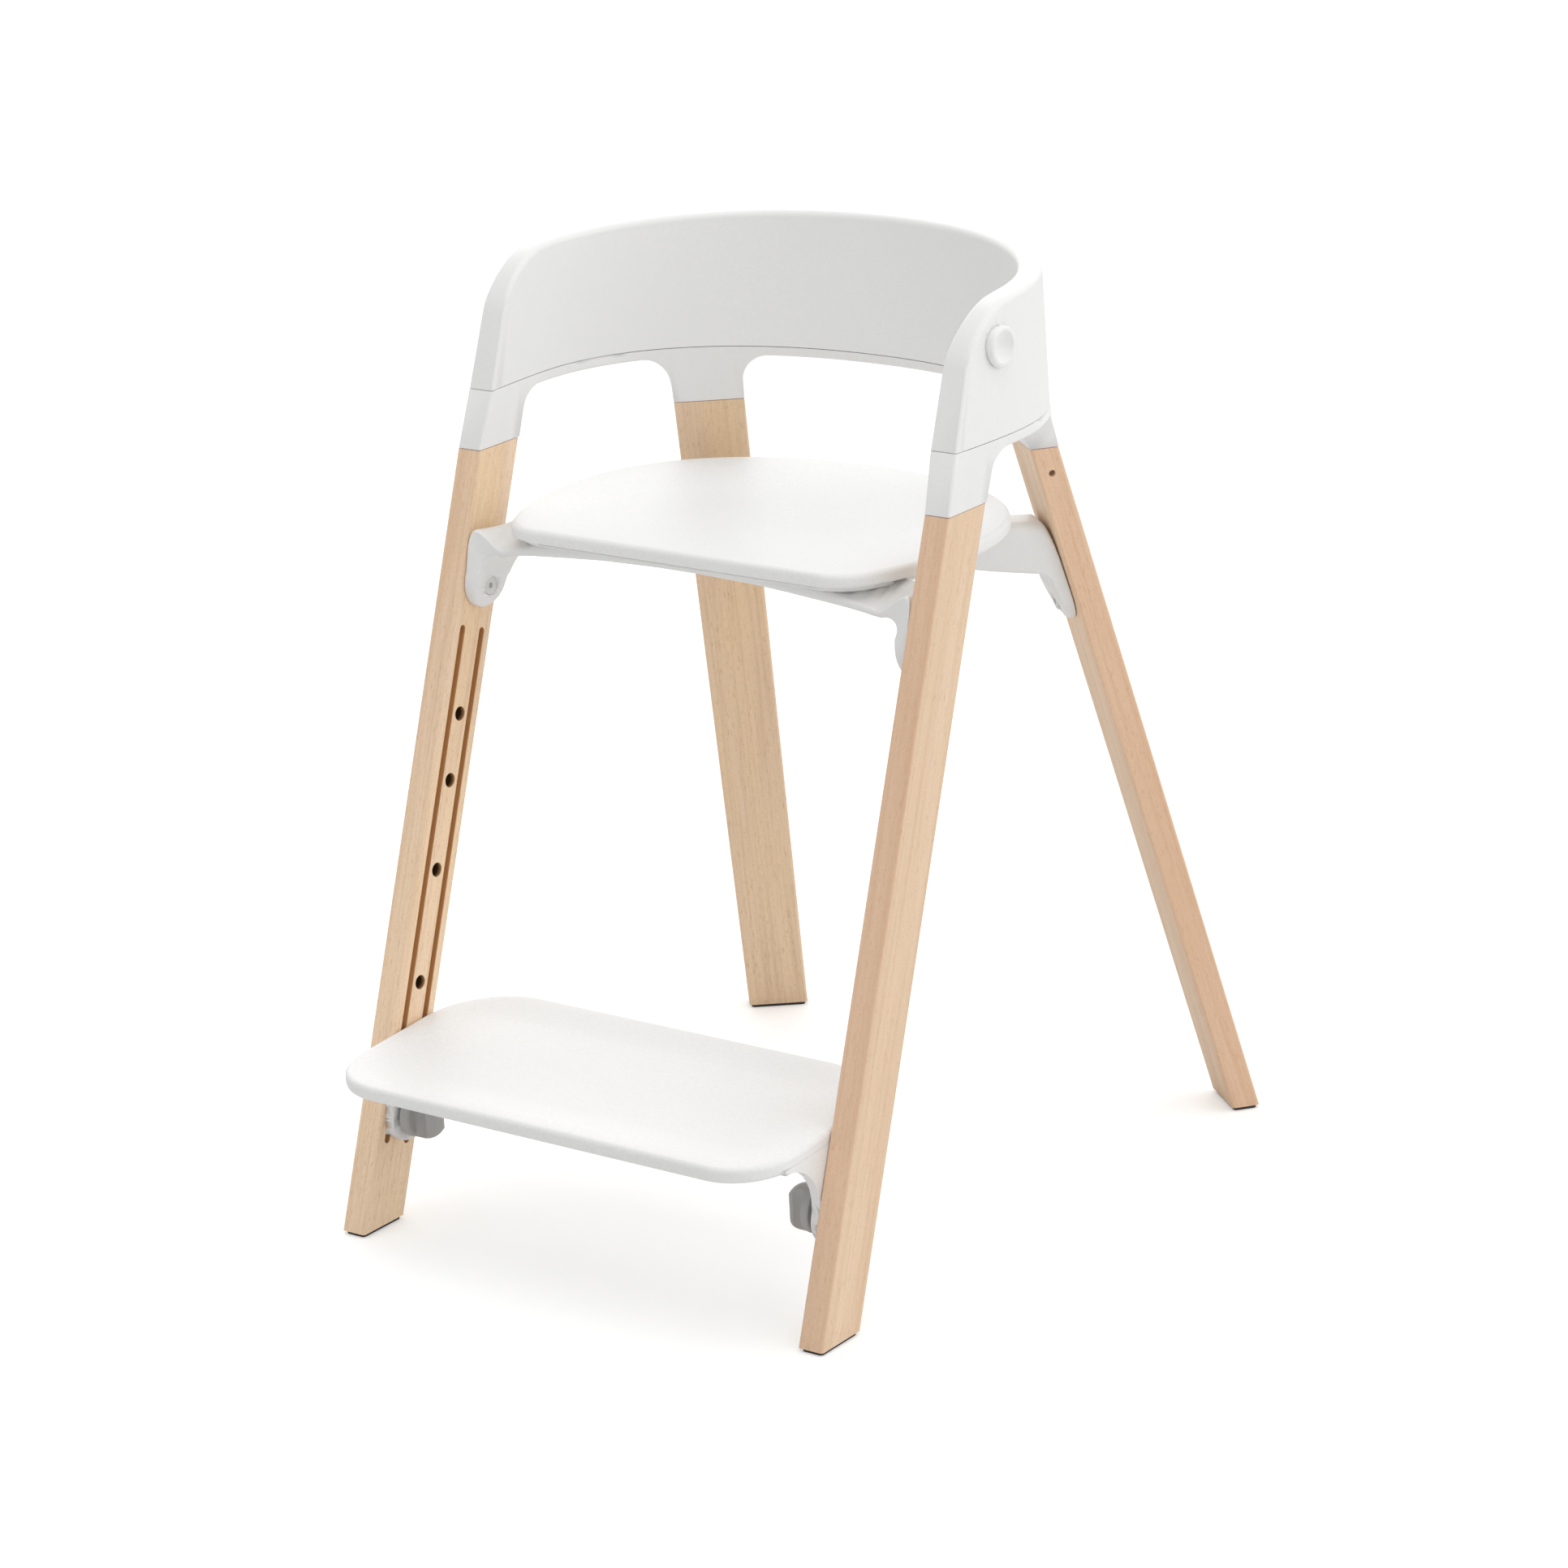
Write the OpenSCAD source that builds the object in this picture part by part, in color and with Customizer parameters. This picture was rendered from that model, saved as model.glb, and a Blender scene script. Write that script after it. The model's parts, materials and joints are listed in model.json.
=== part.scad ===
/* [Legs] */
// Thickness of the leg boards
leg_t = 19.5; // [18:0.5:21]
// Width of a front leg board, square to its length
leg_w = 40; // [38:1:44]
// Clear width between the two front legs
leg_gap = 363.6; // [350:0.2:376]
// Lean of the front legs, backwards from upright
front_lean = 19.4; // [17:0.1:21]
// Height of the top of the seat above the floor
seat_h = 470; // [462:1:478]
// Height above the seat at which the front legs' wood ends and the ring begins
wood_over = 38.8; // [36:0.2:44]
// Radius on the long edges of the leg boards
edge_r = 2; // [1:0.25:3]
// Width of a back leg board where it meets the ring
back_w_top = 49.6; // [46:0.2:52]
// Width of a back leg board at the floor
back_w_foot = 43.6; // [41:0.2:46]
// Turn of the back legs' flat inner faces, seen from above
back_turn = 51; // [47:0.5:55]
// Lean of the back legs, outwards from the ring
back_lean = 15.7; // [13:0.1:18]
// Small sideways lean of the back legs along their own width
back_skew = 3.3; // [2:0.1:5]

/* [Ring and backrest] */
// Height of the moulded ring between the wood and the backrest
stub_h = 38.5; // [34:0.5:44]
// Height of the ring's band over the windows between the legs
band_h = 7.3; // [6:0.1:9]
// Radius where a front leg's socket flows into the band
window_r_front = 14; // [10:1:20]
// Radius where a back leg's socket flows into the band
window_r_back = 21; // [14:1:24]
// How much lower the wood ends at the back legs
back_drop = 3; // [0:0.5:5]
// Height of the backrest shell above the ring at its front ends
back_h = 87.2; // [76:0.2:98]
// Rise of the backrest's rim from its front ends to its middle
rim_rise = 6; // [0:0.5:10]
// Half of the ring's outer width at the line where it meets the backrest
ring_a = 202.5; // [198:0.5:207]
// Depth of the ring's rounded back, from its widest place to the outer wall
ring_b = 155.6; // [148:0.2:164]
// Length of the ring's straight sides in front of its widest place
side_len = 59; // [56:1:66]
// Wall of the ring at that line
wall_t = 20.5; // [19:0.5:22]
// Half of the backrest's outer width at its rim
rim_a = 198; // [194:0.5:202]
// Depth of the rim's rounded back, from its widest place to the outer wall
rim_b = 161; // [154:0.5:168]
// Wall of the backrest at the rim, at the sides
rim_wall_side = 17.5; // [15:0.5:19]
// Wall of the backrest at the rim, at the back
rim_wall_back = 12.5; // [11:0.5:15]
// Radius on the rim's edges
rim_r = 4.5; // [3:0.25:5]
// Height of the rounded upper front corner of each arm of the backrest
corner_h = 37; // [30:1:44]
// Length of that corner along the rim
corner_len = 39; // [32:1:46]

/* [Side discs] */
// Diameter of the round discs on the outside of the backrest
disc_d = 27; // [25:0.5:31]
// How far a disc stands out of the wall
disc_out = 5; // [4:0.5:8]
// Width of the hollow in a disc's face
dish_d = 21; // [18:0.5:22]
// Depth of the hollow in a disc's face
dish_h = 5; // [2:0.25:5.5]
// Height of a disc's centre above the line between ring and backrest
disc_up = 58.8; // [50:0.2:66]
// Distance of a disc's centre in front of the ring's widest place
disc_fwd = 7.6; // [4:0.2:16]
// Diameter of the spigot that holds a disc in the wall
disc_pin_d = 12; // [9:0.5:14]

/* [Seat] */
// Width of the seat
seat_w = 339; // [330:1:344]
// Depth of the seat
seat_d = 239; // [230:1:248]
// Distance from the seat's back edge to its widest place
seat_wide = 134.5; // [124:0.5:144]
// How much the seat is narrower at its front than at its widest place, on each side
seat_taper = 33; // [24:1:40]
// Radius of the seat's front corners
seat_corner = 18; // [12:1:26]
// Thickness of the seat at its edge
seat_t = 9.5; // [8.5:0.5:11]
// Depth of the soft hollow in the seat
seat_dish = 4; // [2:0.5:5]
// Thickness of the seat frame's plate
plate_t = 4.5; // [4:0.5:6]
// Inset of that plate behind the seat's edge
plate_inset = 6; // [4:0.5:10]
// Depth of the front arms where they meet their pads
arm_front = 14.5; // [10:0.5:16]
// Depth of the back arms where they meet their pads
arm_back = 39; // [32:1:44]
// Fall of a back arm's top towards the leg
back_arm_fall = 4; // [0:0.5:6]
// Radius of the knee under a front arm
knee_front = 15; // [8:0.5:16]
// Radius of the knee under a back arm
knee_back = 12; // [8:0.5:16]
// Thickness of the frame's pads on the legs
pad_t = 7; // [6:0.5:8]
// Length of a front pad, down from the top of its arm
pad_front = 51; // [48:1:56]
// Length of a back pad, down from the top of its arm
pad_back = 77; // [72:1:82]
// Height of a bolt above the lower end of its pad
bolt_up = 14.5; // [13:0.5:18]

/* [Footrest] */
// Height of the footrest's top above the floor at its front, in the lowest position
foot_h = 130.4; // [126:0.2:136]
// Depth of the footrest plate
foot_d = 169; // [158:1:176]
// How far the footrest reaches in front of the feet
foot_fwd = 31.5; // [24:0.5:38]
// Thickness of the footrest plate
foot_t = 10.5; // [9:0.5:12]
// Upward slope of the footrest towards the back
foot_slope = 3.3; // [1:0.1:5]
// Corner radius at the front of the footrest
foot_r_front = 42; // [36:1:50]
// Corner radius at the back of the footrest
foot_r_back = 58; // [46:1:62]
// Depth of the soft hollow in the footrest
foot_dish = 2.5; // [1:0.5:3.5]
// Thickness of the tabs that hang from the plate
tab_t = 7; // [6:0.5:8]
// Width of the tabs
tab_w = 32; // [30:1:35]

/* [Footrest adjustment] */
// Distance of the lowest hole up the leg from the floor
hole_1 = 89.7; // [86:0.1:93]
// Step from the first hole to the second
step_1 = 87.7; // [80:0.1:92]
// Each next step is shorter by about this much
step_cut = 13.9; // [12:0.1:15]
// Diameter of the holes
hole_d = 10; // [9:0.5:11]
// Depth of the holes
hole_depth = 12; // [10:0.5:14]
// Distance between the middles of the two grooves beside the holes
groove_gap = 20.7; // [20:0.1:22]
// Width of each groove
groove_w = 5.5; // [4.5:0.25:6]
// Depth of each groove
groove_depth = 4; // [3.5:0.25:5]
// Pitch of the locking screw's thread
pitch = 1.75; // [1.5:0.25:2]
// Turns from slack to tight
turns = 2; // [1.75:0.25:2]
// Diameter of the locking screw
screw_d = 12; // [11:0.5:13]
// Diameter of the knobs
knob_d = 32; // [29:1:34]
// Length of a knob with its grip
knob_h = 22; // [18:0.5:23]

/* [Fasteners and feet] */
// Thickness of the glides under the feet
glide_t = 2.5; // [2:0.25:4]
// Length of the tongues that hold the ring in the legs
tongue_len = 36; // [34:1:42]
// Thickness of the tongues
tongue_t = 9; // [7:0.5:10]
// Diameter of the cross pins that lock the tongues
pin_d = 4; // [3:0.25:5]
// Diameter of the bolts that hold the seat frame
bolt_d = 6; // [5:0.5:7]
// Diameter of the bolts' heads
bolt_head_d = 12.5; // [11.5:0.5:13]
// Diameter of the threaded inserts in the legs
insert_d = 10; // [9:0.5:11]
// Diameter of the small screws in seat and backrest
small_d = 4; // [3.5:0.25:4.5]

/* [Clearances] */
// Clearance between parts that slide or sit in a pocket
slide_gap = 0.3; // [0.25:0.05:0.4]
// Gap at the joint lines between wood, ring and backrest
line_gap = 0.5; // [0.3:0.05:0.7]
// Radial clearance of round parts that fit closely
fit_gap = 0.05; // [0.02:0.01:0.08]

/* [Hidden] */
$fn = 48;

wood = "#dcb98e";
white = "#f0f0ee";
grey = "#9a9896";
dark = "#3a3836";
steel = "#b9bcc0";

// Heights
wood_top = seat_h + wood_over;
joint_z = wood_top + stub_h;
band_z = joint_z - band_h;
rim_z = joint_z + back_h;
seat_low = seat_h - seat_t;
plate_low = seat_low - plate_t;
cut = 400;

// Front legs: the front edge of each foot lies at y = 0 before the chair is centred
x_in = leg_gap / 2;
front_run = tan(front_lean);
front_dy = leg_w / cos(front_lean);

// Ring in plan, at the line where it meets the backrest and at the rim
ring_n = 2.16;
rim_n = 2.1;
toe_in = 3.2;
rim_toe_in = 1.5;
ring_front = joint_z * front_run;
ring_wide = ring_front + side_len;
rim_front = rim_z * front_run;
rim_wide = ring_wide + 2.5;
back_inner = ring_wide + ring_b - wall_t;

// Places along half of the ring: -1 is the front end, 0 the widest place, 1 the middle of the back
s_front = -1 + front_dy / side_len;
s_back = 0.438;
s_back_end = 0.645;
quarter = 0.5 * PI * sqrt((ring_a * ring_a + ring_b * ring_b) / 2);
jump = 0.0005;

// Small helpers
function lerp(a, b, t) = a + (b - a) * t;
function power(v, e) = sign(v) * pow(abs(v), e);
function flip(p) = [-p[0], p[1], p[2]];
function span(a, b, n) = [for (i = [0:n]) a + (b - a) * i / n];

// Inset of a wall's end that is rounded with radius r, at distance d from the end
function end_inset(d, r) = d < r ? r - sqrt(r * r - (r - d) * (r - d)) : 0;

// Faces of a solid that is skinned over n sections of m points each
function skin_faces(n, m) = concat(
    [[for (j = [0:m - 1]) j]],
    [for (i = [0:n - 2], j = [0:m - 1]) let (a = i * m + j, b = i * m + (j + 1) % m) [a, a + m, b + m]],
    [for (i = [0:n - 2], j = [0:m - 1]) let (a = i * m + j, b = i * m + (j + 1) % m) [a, b + m, b]],
    [[for (j = [m - 1:-1:0]) (n - 1) * m + j]]);

module skin(sections) {
    polyhedron([for (s = sections) each s], skin_faces(len(sections), len(sections[0])));
}

// Back leg: its frame stands on the ring's inner curve, x through the board, y across it, z up it
function half_plan(s, y_f, y_w, a, b, n, toe) = s < 0
    ? [a - toe * s * s, y_w + s * (y_w - y_f)]
    : [a * power(cos(90 * s), 2 / n), y_w + b * power(sin(90 * s), 2 / n)];

function ring_in(s) = half_plan(s, ring_front, ring_wide, ring_a - wall_t, ring_b - wall_t, ring_n, toe_in);
function ring_out(s) = half_plan(s, ring_front, ring_wide, ring_a, ring_b, ring_n, toe_in);
function rim_in(s) = half_plan(s, rim_front, rim_wide, rim_a - rim_wall_side, rim_b - rim_wall_back,
    rim_n, rim_toe_in);
function rim_out(s) = half_plan(s, rim_front, rim_wide, rim_a, rim_b, rim_n, rim_toe_in);

back_foot = joint_z / (cos(back_skew) * cos(back_lean));
back_corner = ring_in(s_back);
taper = (back_w_top - back_w_foot) / 2 / back_foot;

// Directions of the back leg's frame in the chair
back_x = [cos(back_turn) * cos(back_lean), sin(back_turn) * cos(back_lean), sin(back_lean)];
back_y = [-sin(back_turn) * cos(back_skew) - cos(back_turn) * sin(back_skew) * sin(back_lean),
    cos(back_turn) * cos(back_skew) - sin(back_turn) * sin(back_skew) * sin(back_lean),
    sin(back_skew) * cos(back_lean)];
back_z = [sin(back_turn) * sin(back_skew) - cos(back_turn) * cos(back_skew) * sin(back_lean),
    -cos(back_turn) * sin(back_skew) - sin(back_turn) * cos(back_skew) * sin(back_lean),
    cos(back_skew) * cos(back_lean)];

// Distance along the board at which its line through x, y reaches height z
function back_along(x, y, z) = (z - joint_z - x * back_x[2] - y * back_y[2]) / back_z[2];
function back_point(x, y, z) = [back_corner[0], back_corner[1], joint_z]
    + x * back_x + y * back_y + back_along(x, y, z) * back_z;
// The board's two edges at height z, from its outer narrow face to its inner one
function back_near(x, z) = back_point(x, -back_along(x, 0, z) * taper, z);
function back_far(x, z) = back_point(x, back_w_top + back_along(x, back_w_top, z) * taper, z);

// The chair is centred front to back between the footrest's edge and the back feet
back_reach = back_far(leg_t - edge_r, glide_t)[1] - edge_r * back_y[1] + edge_r;
front_y = (foot_fwd - back_reach) / 2;

module centred() {
    translate([0, front_y, 0]) children();
}

module both_sides() {
    children();
    mirror([1, 0, 0]) children();
}

// A rectangle with round corners, made of squares and circles
module round_rect(w, h, r) {
    translate([r, 0]) square([w - 2 * r, h]);
    translate([0, r]) square([w, h - 2 * r]);
    for (x = [r, w - r], y = [r, h - r]) translate([x, y]) circle(r);
}

// Frame of the right front leg: x out of the inner face, y across the board, z up the board
module front_frame() {
    translate([x_in, 0, 0]) rotate([-front_lean, 0, 0]) children();
}

// Frame of the right back leg at the ring, x through the board from its inner face
module back_frame() {
    translate([back_corner[0], back_corner[1], joint_z])
        rotate([0, 0, back_turn]) rotate([back_skew, -back_lean, 0]) children();
}

// Distance up a front leg at which its line across reaches height z
function front_along(across, z) = (z + across * sin(front_lean)) / cos(front_lean);

// A cylinder along x, from x0 to x1
module x_rod(x0, x1, d) {
    translate([x0, 0, 0]) rotate([0, 90, 0]) cylinder(h = x1 - x0, d = d);
}

// A cylinder along y, from y0 to y1
module y_rod(y0, y1, d) {
    translate([0, y1, 0]) rotate([90, 0, 0]) cylinder(h = y1 - y0, d = d);
}

// Wood between the glides and the ring
module wood_slab(drop) {
    translate([-cut, -cut, glide_t]) cube([2 * cut, 3 * cut, wood_top - drop - glide_t]);
}

// Tongue and cross pin
tongue_w = leg_w * 0.62;
front_top = front_along(leg_w / 2, wood_top);
back_top = back_along(leg_t / 2, back_w_top / 2, wood_top - back_drop);
pin_drop = 17;
pin_sink = 6;
pin_len = 27;

// Tongue of the given size below the top of a leg board of width w, grown by g for its pocket
module tongue(top, w, g) {
    translate([(leg_t - tongue_t) / 2 - g, (w - tongue_w) / 2 - g, top - tongue_len - g])
        cube([tongue_t + 2 * g, tongue_w + 2 * g, tongue_len + g + 8]);
}

// Locking pin through a leg's narrow face at y = w, grown by g in radius for its hole
module front_pin(g, sink) {
    translate([leg_t / 2, 0, front_top - pin_drop])
        y_rod(leg_w - pin_sink - pin_len - g, leg_w - pin_sink + sink, pin_d + 2 * g);
}

module back_pin(g, sink) {
    translate([leg_t / 2, 0, back_top - pin_drop])
        y_rod(pin_sink - sink, pin_sink + pin_len + g, pin_d + 2 * g);
}

// Bolts of the seat frame
arm_top = seat_low - 5;
front_bolt_z = front_along(leg_w / 2, arm_top - pad_front + bolt_up);
front_bolt_y = leg_w / 2 + 1.5;
back_bolt_z = back_along(0, back_w_top / 2, arm_top - pad_back + bolt_up);
back_bolt_y = back_w_top / 2;
insert_len = 13;
insert_in = 1;
head_h = 3.2;
shank_len = 12;
pad_extra = 4;
pad_at_bolt = pad_t + 0.5 * pad_extra;

// Spigot that holds a glide in its foot
spigot_d = 8;
spigot_len = 9;
spigot_y_front = glide_t * front_run + front_dy / 2 + spigot_len * front_run / 2;
back_mid = (back_near(leg_t / 2, glide_t) + back_far(leg_t / 2, glide_t)) / 2;
back_mid_up = (back_near(leg_t / 2, glide_t + spigot_len) + back_far(leg_t / 2, glide_t + spigot_len)) / 2;
spigot_back = (back_mid + back_mid_up) / 2;

// Holes and grooves for the footrest
hole_up = [hole_1, hole_1 + step_1, hole_1 + 2 * step_1 - step_cut * 0.74,
    hole_1 + 3 * step_1 - step_cut * 2.62, hole_1 + 4 * step_1 - step_cut * 5.64];
foot_travel = hole_up[4] - hole_up[0];
groove_low = hole_1 - 23.5;
groove_high = hole_up[4] + 60;

module front_leg() {
    difference() {
        intersection() {
            front_frame() translate([0, 0, -leg_w]) linear_extrude(wood_top * 1.3)
                round_rect(leg_t, leg_w, edge_r);
            wood_slab(0);
        }
        front_frame() {
            // Two grooves with round ends beside the row of holes
            for (y = [leg_w / 2 - groove_gap / 2, leg_w / 2 + groove_gap / 2]) {
                translate([-1, y - groove_w / 2, groove_low + groove_w / 2])
                    cube([groove_depth + 1, groove_w, groove_high - groove_low - groove_w]);
                for (z = [groove_low + groove_w / 2, groove_high - groove_w / 2])
                    translate([0, y, z]) x_rod(-1, groove_depth, groove_w);
            }
            for (z = hole_up) translate([0, leg_w / 2, z]) x_rod(-1, hole_depth, hole_d);
            translate([0, front_bolt_y, front_bolt_z])
                x_rod(-1, insert_in + insert_len + 1, insert_d + 2 * fit_gap);
            tongue(front_top, leg_w, slide_gap);
            front_pin(slide_gap, pin_sink + 2);
        }
        translate([x_in + leg_t / 2, spigot_y_front, 0])
            cylinder(h = glide_t + spigot_len + 1, d = spigot_d + 2 * fit_gap);
    }
}

// Section of the back board on the slanted floor and ring planes, tapered towards the foot
module back_board() {
    up = 20;
    sections = [for (z = [-back_foot - up, up]) [for (q = [0:3], k = [0:3])
        let (cx = (q == 0 || q == 3) ? edge_r : leg_t - edge_r,
            cy = q < 2 ? -z * taper + edge_r : back_w_top + z * taper - edge_r,
            a = 180 + 90 * q + 30 * k)
        [cx + edge_r * cos(a), cy + edge_r * sin(a), z]]];
    skin(sections);
}

module back_leg() {
    difference() {
        intersection() {
            back_frame() back_board();
            wood_slab(back_drop);
        }
        back_frame() {
            translate([0, back_bolt_y, back_bolt_z])
                x_rod(-1, insert_in + insert_len + 1, insert_d + 2 * fit_gap);
            tongue(back_top, back_w_top, slide_gap);
            back_pin(slide_gap, pin_sink + 2);
        }
        translate([spigot_back[0], spigot_back[1], 0])
            cylinder(h = glide_t + spigot_len + 1, d = spigot_d + 2 * fit_gap);
    }
}

module front_right_leg() {
    color(wood) centred() front_leg();
}

module front_left_leg() {
    color(wood) centred() mirror([1, 0, 0]) front_leg();
}

module back_right_leg() {
    color(wood) centred() back_leg();
}

module back_left_leg() {
    color(wood) centred() mirror([1, 0, 0]) back_leg();
}

// Glides: a dark pad a little smaller than the foot, with a spigot into the wood
glide_in = 1.8;
glide_r = 2.5;

module front_glide() {
    translate([x_in + glide_in, glide_t * front_run + glide_in, 0])
        linear_extrude(glide_t) round_rect(leg_t - 2 * glide_in, front_dy - 2 * glide_in, glide_r);
    translate([x_in + leg_t / 2, spigot_y_front, 0]) cylinder(h = glide_t + spigot_len, d = spigot_d);
}

module back_glide() {
    corner = back_near(0, glide_t);
    across = back_far(0, glide_t) - corner;
    deep = leg_t / cos(back_lean);
    translate([corner[0], corner[1], 0]) rotate([0, 0, atan2(across[1], across[0]) - 90])
        translate([glide_in, glide_in, 0])
        linear_extrude(glide_t) round_rect(deep - 2 * glide_in, norm(across) - 2 * glide_in, glide_r);
    translate([spigot_back[0], spigot_back[1], 0]) cylinder(h = glide_t + spigot_len, d = spigot_d);
}

module front_right_glide() {
    color(dark) centred() front_glide();
}

module front_left_glide() {
    color(dark) centred() mirror([1, 0, 0]) front_glide();
}

module back_right_glide() {
    color(dark) centred() back_glide();
}

module back_left_glide() {
    color(dark) centred() mirror([1, 0, 0]) back_glide();
}

// Ring: the lower edge of the wall at its two heights, on a front leg, on a back leg and between them
function front_low(s, x) = [x_in + x, wood_top * front_run + (s + 1) * side_len];
function xy(p) = [p[0], p[1]];
function back_low(s, x) = lerp(xy(back_near(x, wood_top)), xy(back_far(x, wood_top)),
    (s - s_back) / (s_back_end - s_back));

function ring_low(s, x, up_s, up_front, up_back, up_end) =
    s <= s_front ? front_low(s, x)
    : s < s_back ? up_s + lerp(front_low(s_front, x) - up_front, back_low(s_back, x) - up_back,
        (s - s_front) / (s_back - s_front))
    : s <= s_back_end ? back_low(s, x)
    : up_s + lerp(back_low(s_back_end, x) - up_end, [0, stub_h * tan(back_lean)],
        (s - s_back_end) / (1 - s_back_end));

function ring_low_in(s) = ring_low(s, 0, ring_in(s), ring_in(s_front), ring_in(s_back), ring_in(s_back_end));
function ring_low_out(s) = ring_low(s, leg_t, ring_out(s), ring_out(s_front), ring_out(s_back),
    ring_out(s_back_end));

// Height of the ring's lower edge: sockets on the legs, concave corners, and the band between
function corner_z(d, r) = d >= r ? band_z : band_z - r + sqrt(r * r - (r - d) * (r - d));

function ring_bottom(s) =
    let (before = (s_back - s) * quarter, after = (s - s_back_end) * quarter,
        past_front = s < 0 ? (s - s_front) * side_len : -s_front * side_len + s * quarter)
    s <= s_front ? wood_top + line_gap
    : s < s_back ? min(corner_z(past_front, window_r_front), corner_z(before, window_r_back))
    : s <= s_back_end ? wood_top - back_drop + line_gap
    : corner_z(after, window_r_back);

// A point of the wall between two plans at heights z0 and z1, w in from the inner face
function wall_point(in0, out0, in1, out1, z0, z1, z, w) =
    let (t = (z - z0) / (z1 - z0), a = lerp(in0, in1, t), b = lerp(out0, out1, t), u = (b - a) / norm(b - a))
    [a[0] + u[0] * w, a[1] + u[1] * w, z];

function wall_width(in0, out0, in1, out1, z0, z1, z) =
    let (t = (z - z0) / (z1 - z0)) norm(lerp(out0, out1, t) - lerp(in0, in1, t));

ring_edge_r = 2;

function ring_section(s) =
    let (i0 = ring_low_in(s), o0 = ring_low_out(s), i1 = ring_in(s), o1 = ring_out(s),
        e = end_inset((s + 1) * side_len, edge_r), low = ring_bottom(s),
        r = s > s_front && (s < s_back || s > s_back_end) ? ring_edge_r : 0.01)
    concat(
        [for (k = [0:3]) let (a = 270 - 30 * k, z = low + r + r * sin(a))
            wall_point(i0, o0, i1, o1, wood_top, joint_z, z, e + r + r * cos(a))],
        [wall_point(i0, o0, i1, o1, wood_top, joint_z, joint_z, e),
            wall_point(i0, o0, i1, o1, wood_top, joint_z, joint_z,
                wall_width(i0, o0, i1, o1, wood_top, joint_z, joint_z) - e)],
        [for (k = [0:3]) let (a = -30 * k, z = low + r + r * sin(a))
            wall_point(i0, o0, i1, o1, wood_top, joint_z, z,
                wall_width(i0, o0, i1, o1, wood_top, joint_z, z) - e - r + r * cos(a))]);

corner_s = window_r_back / quarter;
ring_stations = concat(
    [for (d = [0, 0.3, 1]) -1 + d / side_len],
    span(-1 + edge_r / side_len, s_front, 4),
    [for (k = [0:7]) let (d = window_r_front * (1 - cos(k * 90 / 7)))
        s_front + jump + (d < -s_front * side_len ? d / side_len
            : -s_front + (d + s_front * side_len) / quarter)],
    span(0.05, s_back - corner_s - 0.03, 6),
    [for (k = [7:-1:0]) s_back - jump - window_r_back * (1 - cos(k * 90 / 7)) / quarter],
    span(s_back, s_back_end, 5),
    [for (k = [0:7]) s_back_end + jump + window_r_back * (1 - cos(k * 90 / 7)) / quarter],
    span(s_back_end + corner_s + 0.03, 1, 6));

// A horseshoe wall from its right half: the stations in order, then the mirrored ones back
function mirror_back(half) = concat(half,
    [for (i = [len(half) - 2:-1:0]) [for (p = half[i]) flip(p)]]);

// Screws that join ring and backrest: places along the ring, and their size
screw_places = [0.22, 0.82];
ring_screw_len = 20;
ring_head_d = 2 * small_d - 0.5;
ring_head_h = 2.4;
head_sink = 0.3;
sink_deep = 1;

function screw_spot(s) = (ring_in(s) + ring_out(s)) / 2 + [0, s > 0.5 ? 1 : 0];

module at_ring_screws() {
    for (s = screw_places) both_sides() translate([screw_spot(s)[0], screw_spot(s)[1], band_z]) children();
    translate([0, screw_spot(1)[1], band_z]) children();
}

// Countersunk screw that points up from z = 0, grown by g in radius
module up_screw(len, d, head_d, head_h, g) {
    rotate_extrude() polygon([[0, 0], [head_d / 2 + g, 0], [d / 2 + g, head_h], [d / 2 + g, len], [0, len]]);
}

module leg_ring() {
    color(white) centred() difference() {
        union() {
            skin(mirror_back([for (s = ring_stations) ring_section(s)]));
            both_sides() {
                front_frame() tongue(front_top, leg_w, 0);
                back_frame() tongue(back_top, back_w_top, 0);
            }
        }
        both_sides() {
            front_frame() front_pin(slide_gap, 0);
            back_frame() back_pin(slide_gap, 0);
        }
        at_ring_screws() translate([0, 0, -sink_deep])
            up_screw(ring_screw_len + sink_deep, small_d, ring_head_d + 2 * sink_deep,
                ring_head_h + sink_deep + 1.4 * head_sink, slide_gap / 2);
    }
}

module lock_pins() {
    color(steel) centred() both_sides() {
        front_frame() front_pin(0, 0);
        back_frame() back_pin(0, 0);
    }
}

// Backrest: the rim's height, with the round upper corner at each front end
function rim_height(s) =
    let (y = rim_out(s)[1], d = y - rim_front,
        flat = rim_z + rim_rise * (y - rim_front) / (rim_wide + rim_b - rim_front))
    d < corner_len ? flat - corner_h * (1 - sqrt(1 - pow(1 - d / corner_len, 2))) : flat;

rim_end_r = 1.5;

function back_section(s) =
    let (i0 = ring_in(s), o0 = ring_out(s), i1 = rim_in(s), o1 = rim_out(s),
        e = end_inset(rim_out(s)[1] - rim_front, rim_end_r),
        low = joint_z + line_gap, top = rim_height(s), r = rim_r)
    concat(
        [wall_point(i0, o0, i1, o1, joint_z, rim_z, low, e)],
        [for (k = [0:4]) let (a = 180 - 22.5 * k, z = top - r + r * sin(a))
            wall_point(i0, o0, i1, o1, joint_z, rim_z, z, e + r + r * cos(a))],
        [for (k = [0:4]) let (a = 90 - 22.5 * k, z = top - r + r * sin(a))
            wall_point(i0, o0, i1, o1, joint_z, rim_z, z,
                wall_width(i0, o0, i1, o1, joint_z, rim_z, z) - e - r + r * cos(a))],
        [wall_point(i0, o0, i1, o1, joint_z, rim_z, low,
            wall_width(i0, o0, i1, o1, joint_z, rim_z, low) - e)]);

rim_side = rim_wide - rim_front;
back_stations = concat(
    [for (a = [0, 4, 8, 12, 16, 21, 28, 36, 45, 54, 63]) -1 + corner_len * (1 - cos(a)) / rim_side],
    span(0.0, 1, 22));

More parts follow.
